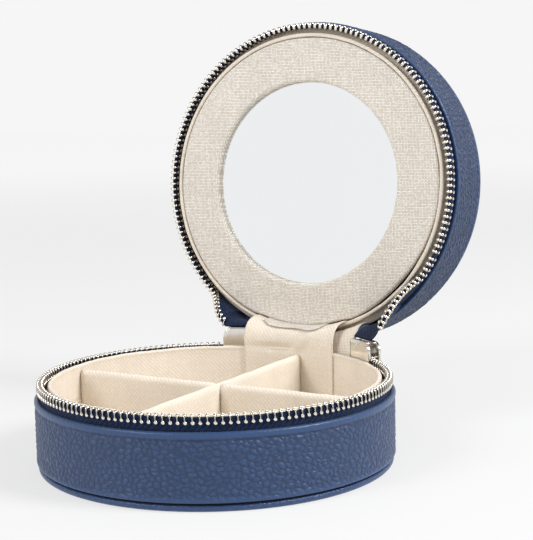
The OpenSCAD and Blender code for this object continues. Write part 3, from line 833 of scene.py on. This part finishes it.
def make_surround():
    """Linen drawn over a board ring: soft at its outer edge, cut clean at the mirror, and loose where
    the strap goes in under it."""
    edge_r = SURROUND_R - 0.35 * MM
    bottom = SURROUND_TOP - SURROUND_T
    rounding, hole_round = 0.9 * MM, 1.3 * MM
    hole, top = MIRROR_HOLE_R, SURROUND_TOP
    section = (arc((hole + hole_round, top - hole_round), hole_round, 180, 96, 8)
               + line((hole + hole_round, top), (edge_r - rounding, top), 34)
               + arc((edge_r - rounding, top - rounding), rounding, 90, 0, 7)
               + line((edge_r, top - rounding - 0.2 * MM), (edge_r, bottom), 2)
               + line((edge_r, bottom), (hole + 0.35 * MM, bottom), 3)
               + line((hole + 0.35 * MM, bottom), (hole + 0.25 * MM, bottom + 0.2 * MM), 2)
               + [(hole + 0.05 * MM, bottom + 0.35 * MM)])
    bearings = bearings_for(0.75 * MM, SURROUND_R)
    r, bearing, z = revolved(section, bearings)
    off_back = np.abs((bearing + 180) % 360 - 180)
    at_strap = 1 - ease(off_back, STRAP_TURN - 2, STRAP_TURN + 3)
    outwards = ease(r, SURROUND_R - 6 * MM, SURROUND_R)
    face = ease(z, bottom + 1 * MM, top)
    soft = ripple(bearing, 360, (4, 9, 13), 61)
    loose = hump(bearing, 48, 34)
    r = r - outwards * (0.08 * soft + 0.7 * at_strap + 0.9 * loose) * MM
    z = z + face * outwards * (0.05 * soft + 0.35 * at_strap) * MM
    points = polar(r, bearing, z)
    flat = np.concatenate([points, points[:, :1]], 1)[..., :2]
    flat = np.concatenate([flat, flat[:1]], 0)
    shape = Shape()
    shape.grid(in_lid(points), flat, ring=True, loop=True)
    surround = place(shape.build("surround_linen", "linen"), "lid", "linen", "mirror_surround")


# Zip

def tooth_shape():
    """One tooth at bearing 0: two legs with round ends, clamped over the tape's edge by a thick head."""
    leg_r, foot = TAPE_T / 2 + 0.45 * MM, TOOTH_TOP - TOOTH_H
    # One leg up to the head's middle. Each station is: off the leg's line, above the foot, half
    # thickness and half width, all in mm, and painted brightness, where lower values paint shade on the stems
    off, height, thick, wide, painted_brightness = np.array([
        (0, 0.02, 0.12, 0.14, 1),
        (0, 0.12, 0.31, 0.40, 1),
        (0, 0.36, 0.41, 0.58, 1),
        (0, 0.66, 0.41, 0.60, 1),
        (0, 0.94, 0.36, 0.44, 0.9),
        (0, 1.12, 0.36, 0.22, 0.6),
        (0, 1.60, 0.37, 0.17, 0.45),
        (0, 2.05, 0.38, 0.24, 0.55),
        (-0.06, 2.36, 0.41, 0.46, 0.7),
        (-0.32, 2.56, 0.44, 0.55, 1),
        (-0.58, 2.62, 0.45, 0.55, 1),
    ]).T
    off = leg_r + off * MM
    off = np.concatenate([off, -off[::-1]])
    height, thick, wide, painted_brightness = (np.concatenate([v, v[::-1]]) for v in (height, thick, wide, painted_brightness))
    height, thick, wide = foot + height * MM, thick * MM, wide * MM
    path = np.stack([off, height], -1)
    ahead = np.gradient(path, axis=0)
    ahead /= np.linalg.norm(ahead, axis=1)[:, None]
    across = np.stack([ahead[:, 1], -ahead[:, 0]], -1)
    around = np.linspace(0, 2 * math.pi, 12, endpoint=False)
    lean = 0.1 * (height - foot)
    x = np.cos(around)[:, None] * wide[None, :] + lean
    section = path[None] + np.sin(around)[:, None, None] * (across * thick[:, None])[None]
    points = np.stack([x, TAPE_R + section[..., 0], section[..., 1]], -1)
    shape = Shape()
    shape.grid(points, grain=np.broadcast_to(painted_brightness, x.shape), loop=True, ends=True)
    return shape


TOOTH = tooth_shape()


def turned(bearing):
    """A move that turns points from bearing 0 to a bearing."""
    c, s = math.cos(math.radians(bearing)), math.sin(math.radians(bearing))

    def move(points):
        return np.stack([points[..., 0] * c + points[..., 1] * s,
                         points[..., 1] * c - points[..., 0] * s, points[..., 2]], -1)
    return move


def row_bearings(start, end, shift):
    """Bearings of the teeth in a row between two bearings, shifted by a share of the pitch."""
    count = math.floor((end - start) / PITCH_TURN - shift - 0.5) + 1
    return [start + (i + shift + 0.5) * PITCH_TURN for i in range(count)]


def tape_section():
    """Section of the zip's tape, with a slightly thicker edge under the teeth."""
    r0, r1 = TAPE_R - TAPE_T / 2, TAPE_R + TAPE_T / 2
    bead = 0.04 * MM
    return (line((r1, TAPE_FOOT), (r1, TAPE_TOP - 0.9 * MM), 16)
            + line((r1 + bead, TAPE_TOP - 0.8 * MM), (r1 + bead, TAPE_TOP - 0.3 * MM), 2)
            + arc((TAPE_R, TAPE_TOP - 0.3 * MM), 0.3 * MM, 0, 180, 6)
            + line((r0 - bead, TAPE_TOP - 0.3 * MM), (r0 - bead, TAPE_TOP - 0.8 * MM), 2)
            + line((r0, TAPE_TOP - 0.9 * MM), (r0, TAPE_FOOT), 8))


def make_zip(half):
    """The tape and the row of teeth of one half."""
    tail = SLIDER_TURN - ROW_CLEAR
    rows = {
        "base": (PARK["right"] - tail, 360 + PARK["left"] + tail, 0),
        "lid": (PARK["right"] + SLIDER_TURN + END_TURN, 360 + PARK["left"] - SLIDER_TURN - END_TURN, 0.5),
    }
    start, end, shift = rows[half]
    to_half = HALVES[half]
    section = tape_section()
    bearings = np.linspace(start, end, round((end - start) / 0.6))
    r, bearing, z = revolved(section, bearings)
    ribs = 0.02 * MM * np.sin(2 * math.pi * np.radians(bearing) * TAPE_R / RIB_PITCH)
    tape = Shape()
    flat = np.stack(np.meshgrid(np.radians(bearings) * TAPE_R, run_of(section)), -1)
    tape.grid(to_half(polar(r + ribs, bearing, z)), flat, loop=True, ends=True)
    place(tape.build(f"{half}_tape", "zip_tape"), half, "zip_tape", f"{half}_zip_tape")

    moves = [turned(b) for b in row_bearings(start, end, shift)]
    teeth = Shape()
    teeth.copies(TOOTH, [lambda p, m=m: to_half(m(p)) for m in moves])
    place(teeth.build(f"{half}_teeth", "zip_teeth"), half, "zip_teeth", f"{half}_zip_teeth")


# Soft pieces across the hinge

def blended(piece, slot, bend, *nodes):
    """Keeps a piece where it is built, with its transform baked into its mesh, in place of CAD nodes; it does
    not bend it. The bend is a direction, and how far along it the bend starts and ends, in mm; it is not used."""
    way, start, end = bend
    way = Vector(way).normalized() * MM
    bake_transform(piece)
    if nodes:
        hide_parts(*nodes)
    return piece


# The hinge panel's and the strap's bend
HINGE_BEND = ((0, 1, 1), 53, 62.4)
# Each web's bend, meant to keep most of it off its slider in the shut case; blended does not apply it
WEB_BEND = {"left": ((0, 0.94, 0.34), 56.6, 72.1), "right": ((0, 0.5, 0.866), 50.6, 64.5)}
# Each zip end's bend, meant to bring it close to the line of the rest of its row in the shut case; blended does
# not apply it
END_BEND = {"left": ((0, 0.766, 0.643), 49.8, 73.0), "right": ((0, 0.5, 0.866), 44.4, 73.1)}
# A zip end's gap to its slider in degrees, its share of the opening there, the turn over which it
# takes up the rest, and the height of its free edge along the shut case
END_GAP = 0.4
START_SHARE = 0.3
FLARE_TURN = 0.65 * END_TURN
EDGE_S = HALF_H + 1.2 * MM


def end_share(turn, s):
    """Share of the opening that a zip end has taken up, from its slider to the lid's rigid row."""
    edge = START_SHARE + (1 - START_SHARE) * ease(turn, -2, FLARE_TURN)
    return edge + (1 - edge) * ease(s, HALF_H + 1 * MM, HALF_H + 5.2 * MM)


def end_teeth(first, sign):
    """Turns of a zip end's teeth, evenly spaced along its bent edge."""
    turns = np.arange(0, END_TURN + 0.25, 0.5)
    edge = folded(TAPE_R, first + sign * turns, HALF_H + 1.4 * MM, end_share(turns, EDGE_S))
    run = run_along(edge)
    count = round(run[-1] / TOOTH_PITCH)
    return np.interp((np.arange(count) + 0.5) * run[-1] / count, run, turns)


def make_web(side, first):
    """Web of tape over a parked slider, from the slider's top to the lid's leather. Its far side meets
    the zip end, which starts at the bearing first."""
    top, thick, clear = HALF_H + SLIDER_HALF_H, 0.5 * MM, 0.1 * MM
    leather_edge = 2 * HALF_H - LEATHER_TOP
    turns = np.linspace(-SLIDER_TURN - 0.6, SLIDER_TURN + 0.7, 24)
    bearings = PARK[side] + SIDE_SIGN[side] * turns
    web_start = folded(TAPE_R, bearings, top + clear, 0.0)
    past = folded(PLATE_OUT_R + PLATE_T + 0.3 * MM, bearings, top + 3.2 * MM, 0.0)
    web_end = folded(CASE_R - 0.7 * MM, bearings, leather_edge - 0.25 * MM, 1.0)
    under = np.stack([(1 - t) ** 2 * web_start + 2 * t * (1 - t) * past + t * t * web_end
                      for t in np.linspace(0, 1, 24)])
    along_edge = np.linspace(EDGE_S, leather_edge - 0.2 * MM, 24)
    tape_edge = folded(TAPE_R, first, along_edge, end_share(0, along_edge)) - np.array([0, 0, 0.35 * MM])
    tape_edge[:, 2] = np.maximum(tape_edge[:, 2], top + clear)
    joined = ease(turns, SLIDER_TURN - 4, SLIDER_TURN + 0.6)[None, :, None]
    under = under * (1 - joined) + tape_edge[:, None] * joined
    over = under + np.array([0, 0, thick])
    web = add_sheet(Shape(), under, over, np.radians(turns) * TAPE_R, np.linspace(0, 12 * MM, 24))
    blended(web.build(f"zip_end_{side}_web", "zip_tape"), "zip_ends", WEB_BEND[side])


def make_zip_end(side):
    """The lid's zip between its rigid row and a slider: the web over the slider, the tape, the teeth."""
    sign = SIDE_SIGN[side]
    first = PARK[side] + sign * (SLIDER_TURN + END_GAP)
    make_web(side, first)

    turns = np.linspace(0, END_TURN, 40)
    section = tape_section()
    r, turn, z = revolved(section, turns)
    points = folded(r, first + sign * turn * 0.98, 2 * HALF_H - z, end_share(turn, 2 * HALF_H - z))
    flat = np.stack(np.meshgrid(np.radians(turns) * TAPE_R, run_of(section)), -1)
    tape = Shape()
    tape.grid(points, flat, loop=True, ends=True)
    blended(tape.build(f"zip_end_{side}_tape", "zip_tape"), "zip_ends", END_BEND[side], f"zip_end_{side}")

    teeth = Shape()
    for tooth_turn in end_teeth(first, sign):
        share = float(end_share(tooth_turn, EDGE_S))
        move = turned(first + sign * tooth_turn)
        teeth.copies(TOOTH, [lambda p, m=move, w=share: in_lid(m(p), w)])
    blended(teeth.build(f"zip_end_{side}_teeth", "zip_teeth"), "zip_teeth", END_BEND[side])


def add_sheet(shape, inner, outer, across, along, grain=None):
    """Adds a closed sheet from its inner and its outer side, both rows by columns of points."""
    first = shape.count
    points = np.concatenate([inner, outer[::-1]], 0)
    rows = len(inner)
    flat = np.stack(np.meshgrid(across, np.concatenate([along, along[::-1], along[:1]])), -1)
    shape.grid(points, flat, grain, loop=True)
    total, cols = 2 * rows, points.shape[1]
    for column in (first, first + cols - 1):
        shape.faces([[i * cols + column, (i + 1) * cols + column, (total - 2 - i) * cols + column,
                      (total - 1 - i) * cols + column] for i in range(rows - 1)])
    return shape


def make_hinge_panel():
    """Leather over the hinge on the outside, and canvas on the inside."""
    fold = 3.7 * MM
    off_slider = SLIDER_TURN + 0.8
    bearings = np.linspace(PARK["left"] + off_slider, PARK["right"] - off_slider, 110)
    s = np.linspace(TAPE_FOOT, 2 * HALF_H - TAPE_FOOT, 90)
    bearing, height = np.meshgrid(bearings, s)
    u = np.radians(bearing) * CASE_R
    grain = leather_grain(u + 0.1, height, 0.4, 71)
    share = ease(height, HALF_H - fold, HALF_H + fold)
    inner = folded(TAPE_R - TAPE_T / 2, bearing, height, share)
    outer = folded(TAPE_R + TAPE_T / 2 - GRAIN_DEPTH * (1 - grain) + 0.05 * MM, bearing, height, share)
    both = np.concatenate([np.ones_like(grain), grain[::-1]], 0)
    leather = add_sheet(Shape(), inner, outer, np.radians(bearings) * CASE_R, s, both)
    blended(leather.build("hinge_panel", "leather"), "leather", HINGE_BEND, "hinge_leather")

    r = TAPE_R - TAPE_T / 2 - 0.1 * MM
    s = np.linspace(LEATHER_TOP + 0.3 * MM, 2 * HALF_H - LEATHER_TOP - 0.3 * MM, 40)
    bearing, height = np.meshgrid(bearings, s)
    share = ease(height, HALF_H - fold, HALF_H + fold)
    pucker = 0.06 * MM * ripple(height * 1000 + bearing, 12, (2, 5), 73)
    inner = folded(r - 0.5 * MM + pucker, bearing, height, share)
    outer = folded(r, bearing, height, share)
    cloth = add_sheet(Shape(), inner, outer, np.radians(bearings) * TAPE_R, s)
    blended(cloth.build("hinge_cloth", "canvas"), "canvas", HINGE_BEND, "hinge_lining")


STRAP_WALL_ROWS = 40


def bezier(a, b, c, d, t):
    return (1 - t) ** 3 * a + 3 * t * (1 - t) ** 2 * b + 3 * t * t * (1 - t) * c + t ** 3 * d


def make_strap():
    """Canvas strap that stops the lid: up the back wall, slack over the rim, and in under the surround."""
    leave, join, strap_end = HALF_H - 0.7 * MM, HALF_H + 3.8 * MM, HALF_H + 7 * MM
    lean, rise, run = -1.2 * MM, 1.08, np.array([0, -6 * MM, 0.8 * MM])
    thick = 0.6 * MM
    outer_r = LINING_R - LINING_T - 0.1 * MM
    bearings = np.linspace(-STRAP_TURN, STRAP_TURN, 76)
    heights = np.linspace(LINING_FOOT + 0.2 * MM, leave, STRAP_WALL_ROWS, endpoint=False)

    def side(r):
        rows = [folded(r, bearings, s, 0.0) for s in heights]
        wall, lid = folded(r, bearings, leave, 0.0), folded(r, bearings, join, 1.0)
        up = wall + np.stack([0 * bearings, lean + 0 * bearings, rise * (lid[:, 2] - wall[:, 2])], -1)
        rows += [bezier(wall, up, lid + run, lid, t) for t in np.linspace(0, 1, 36)]
        rows += [folded(r, bearings, s, 1.0) for s in np.linspace(join, strap_end, 6)[1:]]
        return np.stack(rows)

    inner, outer = side(outer_r - thick), side(outer_r)
    x, y, z = np.moveaxis(inner, -1, 0)
    free = ease(z, HALF_H - 5 * MM, HALF_H - 1 * MM) * (1 - ease(y, HINGE_Y - 1 * MM, HINGE_Y + 2 * MM))
    dent = hump(x + 1.2 * (z - HALF_H), -7 * MM, 13 * MM) * hump(z, HALF_H - 1.4 * MM, 2.2 * MM) * 0.9 * MM
    fold = hump(x - 0.9 * (z - HALF_H), 3 * MM, 3.2 * MM) * 0.6 * MM
    shift = np.stack([0 * x, free * (dent - fold), 0 * x], -1)
    along = run_along(inner[:, len(bearings) // 2])
    shape = add_sheet(Shape(), inner + shift, outer + shift, np.radians(bearings) * outer_r, along)
    strap = blended(shape.build("strap", "canvas"), "canvas", HINGE_BEND, "hinge_strap")
    tab = make_surround_tab(inner + shift, bearings)


def make_surround_tab(strap_face, bearings):
    """Loose lower edge of the surround's linen, lying on the strap where it goes in under the lid."""
    across = (bearings > -15) & (bearings < 13)
    under_rows = strap_face[STRAP_WALL_ROWS + 6:STRAP_WALL_ROWS + 32, across]
    ahead = np.gradient(under_rows, axis=0)
    sideways = np.gradient(under_rows, axis=1)
    away = np.cross(sideways, ahead)
    away /= np.linalg.norm(away, axis=-1)[..., None]
    away *= np.sign(away[..., 2:])
    x = under_rows[0, :, 0]
    rows = np.linspace(0, 1, len(under_rows))
    edge = 0.42 + 0.06 * ripple(x, 60 * MM, (3, 5), 81) + 0.2 * ease(np.abs(x), 9 * MM, 13 * MM)
    path = edge[None] + (1 - edge[None]) * rows[:, None]
    index = path * (len(rows) - 1)
    low = np.clip(np.floor(index).astype(int), 0, len(rows) - 2)
    part = (index - low)[..., None]
    columns = np.arange(len(x))[None]
    face = under_rows[low, columns] * (1 - part) + under_rows[low + 1, columns] * part
    out = away[low, columns]
    lift = (0.12 + 0.25 * hump(rows[:, None], 0, 0.35) + 0.08 * ripple(x, 60 * MM, (4, 7), 83)[None]) * MM
    below, above = face + out * lift[..., None], face + out * (lift[..., None] + 0.4 * MM)
    shape = add_sheet(Shape(), below, above, x, np.linspace(0, 6 * MM, len(rows)))
    return blended(shape.build("surround_tab", "linen"), "linen", HINGE_BEND)


# Sliders

def soft_corners():
    """Goes round a flat bar's section with four soft corners: a sign for each of its two ways, and the
    corner's cosine and sine."""
    corner = np.linspace(0, math.pi / 2, 4)
    for first, second in ((1, 1), (1, -1), (-1, -1), (-1, 1)):
        for c in corner[::first * second]:
            yield first, second, math.cos(c), math.sin(c)


def curved_plate(shape, move, inner_r, side):
    """A slider's plate: broad round shoulders at one end, small corners at the other, soft edges all
    round. It is bent to the radius of the rim."""
    shoulder, tail, edge = 3.4 * MM, 1.2 * MM, 0.25 * MM
    reach = inner_r * math.sin(math.radians(SLIDER_TURN))
    x = np.linspace(-1, 1, 41)
    x = np.sign(x) * (1 - (1 - np.abs(x)) ** 1.6) * reach
    drop = 0
    for off_end, corner in ((x, shoulder), (-x, tail)):
        t = np.clip((off_end - (reach - corner)) / corner, 0, 1)
        drop = drop + corner * (1 - np.sqrt(1 - t ** 2))
    half = np.maximum(SLIDER_HALF_H - drop, edge)
    bearing = np.degrees(np.arcsin(side * x / inner_r))
    rows = []
    for tall, deep, cosine, sine in soft_corners():
        off = deep * (PLATE_T / 2 - edge + edge * cosine)
        rows.append(polar(inner_r + PLATE_T / 2 + off, bearing, HALF_H + tall * (half - edge + edge * sine)))
    shape.grid(move(np.stack(rows)), loop=True, ends=True)


def make_slider(side):
    """Polished slider: an inner and an outer plate, flanges towards the tape, and a thin middle web."""
    park, sign = PARK[side], SIDE_SIGN[side]
    move = turned(park)
    shape = Shape()
    for r in (PLATE_IN_R, PLATE_OUT_R):
        curved_plate(shape, move, r, sign)
    flange_gap, flange_h, flange_turn = 0.35 * MM, 0.8 * MM, SLIDER_TURN - 2.2
    tape_in, tape_out = TAPE_R - TAPE_T / 2 - flange_gap, TAPE_R + TAPE_T / 2 + flange_gap
    plate_in, plate_out = PLATE_IN_R + 0.3 * MM, PLATE_OUT_R + 0.3 * MM
    low, high = HALF_H - SLIDER_HALF_H + 0.05 * MM, HALF_H + SLIDER_HALF_H - flange_h - 0.05 * MM
    web_t, web_turn = 0.36 * MM, 3.2
    web_from = SLIDER_TURN - web_turn - 1 if sign > 0 else 1 - SLIDER_TURN
    boxes = [(-flange_turn, flange_turn, r0, r1, z, z + flange_h)
             for z in (low, high) for r0, r1 in ((plate_in, tape_in), (tape_out, plate_out))]
    boxes.append((web_from, web_from + web_turn, plate_in, plate_out, HALF_H - web_t / 2, HALF_H + web_t / 2))
    for b0, b1, r0, r1, z0, z1 in boxes:
        soft = min(0.12 * MM, (z1 - z0) / 3)
        section = [(r0 + soft, z0), (r1 - soft, z0), (r1, z0 + soft), (r1, z1 - soft),
                   (r1 - soft, z1), (r0 + soft, z1), (r0, z1 - soft), (r0, z0 + soft)]
        r, bearing, z = revolved(section, np.linspace(b0, b1, 13))
        shape.grid(move(polar(r, bearing, z)), loop=True, ends=True)
    place(shape.build(f"slider_{side}_shell", "slider"), f"slider_{side}", "slider", f"slider_{side}_body")
    make_bail(side, move)
    make_pull(side, move)


def tube(shape, move, path, radius):
    """A rod along a path of points in the plane of x and y, at the height of the sliders' middle."""
    path = np.array(path)
    ahead = np.gradient(path, axis=0)
    ahead /= np.linalg.norm(ahead, axis=1)[:, None]
    across = np.stack([-ahead[:, 1], ahead[:, 0]], -1)
    around = np.linspace(0, 2 * math.pi, 14, endpoint=False)
    flat = path[None] + np.cos(around)[:, None, None] * radius * across[None]
    height = HALF_H + np.sin(around)[:, None] * radius * np.ones(len(path))[None]
    shape.grid(move(np.concatenate([flat, height[..., None]], -1)), loop=True, ends=True)


def make_bail(side, move):
    """Bent bridge on the outer plate that the pull hangs from."""
    half, bar, foot_y = 2.4 * MM, 0.55 * MM, PLATE_OUT_R + PLATE_T - 0.3 * MM
    corner = 0.7 * MM
    path = line((-half, foot_y), (-half, BAIL_R - corner), 4)
    path += [(-half + corner - corner * math.cos(a), BAIL_R - corner + corner * math.sin(a))
             for a in np.linspace(0, math.pi / 2, 6)]
    path += [(-x, y) for x, y in reversed(path)]
    shape = Shape()
    tube(shape, move, path, bar)
    place(shape.build(f"slider_{side}_bridge", "slider"), f"slider_{side}", "slider", f"slider_{side}_bail")


def make_pull(side, move):
    """Flat pull with a waist and a round end, hung from the bridge by a rolled eye."""
    half_t, neck_w, end_w, length = 0.5 * MM, 1.6 * MM, 2.5 * MM, 17 * MM
    edge = 0.2 * MM
    z = np.concatenate([np.linspace(-0.9 * MM, -(length - end_w), 24, endpoint=False),
                        -(length - end_w) - end_w * np.sin(np.linspace(0, math.pi / 2 * 0.97, 12))])
    tip = np.clip((-z - (length - end_w)) / end_w, 0, 1)
    wide = neck_w + (end_w - neck_w) * ease(-z, 2 * MM, 6 * MM) - 0.25 * MM * hump(-z, 9 * MM, 4 * MM)
    wide = np.maximum(wide * np.sqrt(1 - tip ** 2), edge)
    rows = []
    for sideways, deep, cosine, sine in soft_corners():
        x = sideways * (wide - edge + edge * sine)
        y = BAIL_R + deep * (half_t - edge + edge * cosine) * np.ones_like(z)
        rows.append(np.stack([x, y, HALF_H + z], -1))
    shape = Shape()
    shape.grid(move(np.stack(rows)), loop=True, ends=True)
    bore, barrel, half_w = 0.6 * MM, 1.1 * MM, 1.65 * MM
    end = [(half_w - 0.2 * MM, barrel), (half_w, barrel - 0.2 * MM), (half_w, bore + 0.12 * MM),
           (half_w - 0.15 * MM, bore)]
    around = np.linspace(0, 2 * math.pi, 28, endpoint=False)
    x, r = np.array([(-x, r) for x, r in reversed(end)] + end).T
    eye = np.stack([np.broadcast_to(x[:, None], (len(x), len(around))), BAIL_R + r[:, None] * np.cos(around),
                    HALF_H + r[:, None] * np.sin(around)], -1)
    shape.grid(move(eye), ring=True, loop=True)
    place(shape.build(f"slider_{side}_pull", "slider"), f"pull_{side}", "pull", f"pull_{side}_tab")


def finish_cad_nodes():
    """Gives the CAD nodes that stay their materials."""
    kept = {"board": ("base_side_board", "base_bottom_board", "lid_side_board", "lid_top_board",
                      "lid_support_ring", "mirror_backing"),
            "mirror": ("mirror_glass",)}
    for material, names in kept.items():
        for name in names:
            mesh = frame["nodes"][name]
            for slot in mesh.material_slots:
                slot.material = MATERIALS[material]


make_camera()
make_studio()
for half in HALVES:
    make_side_leather(half)
    make_panel(half)
    make_wall_lining(half)
    make_zip(half)
make_floor_lining()
make_dividers()
make_surround()
make_hinge_panel()
make_strap()
for side in SIDE_SIGN:
    make_zip_end(side)
    make_slider(side)
finish_cad_nodes()

SIZES = {name: [list(corner) for corner in box] for name, box in (("cad", CAD_BOX), ("visual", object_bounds()))}
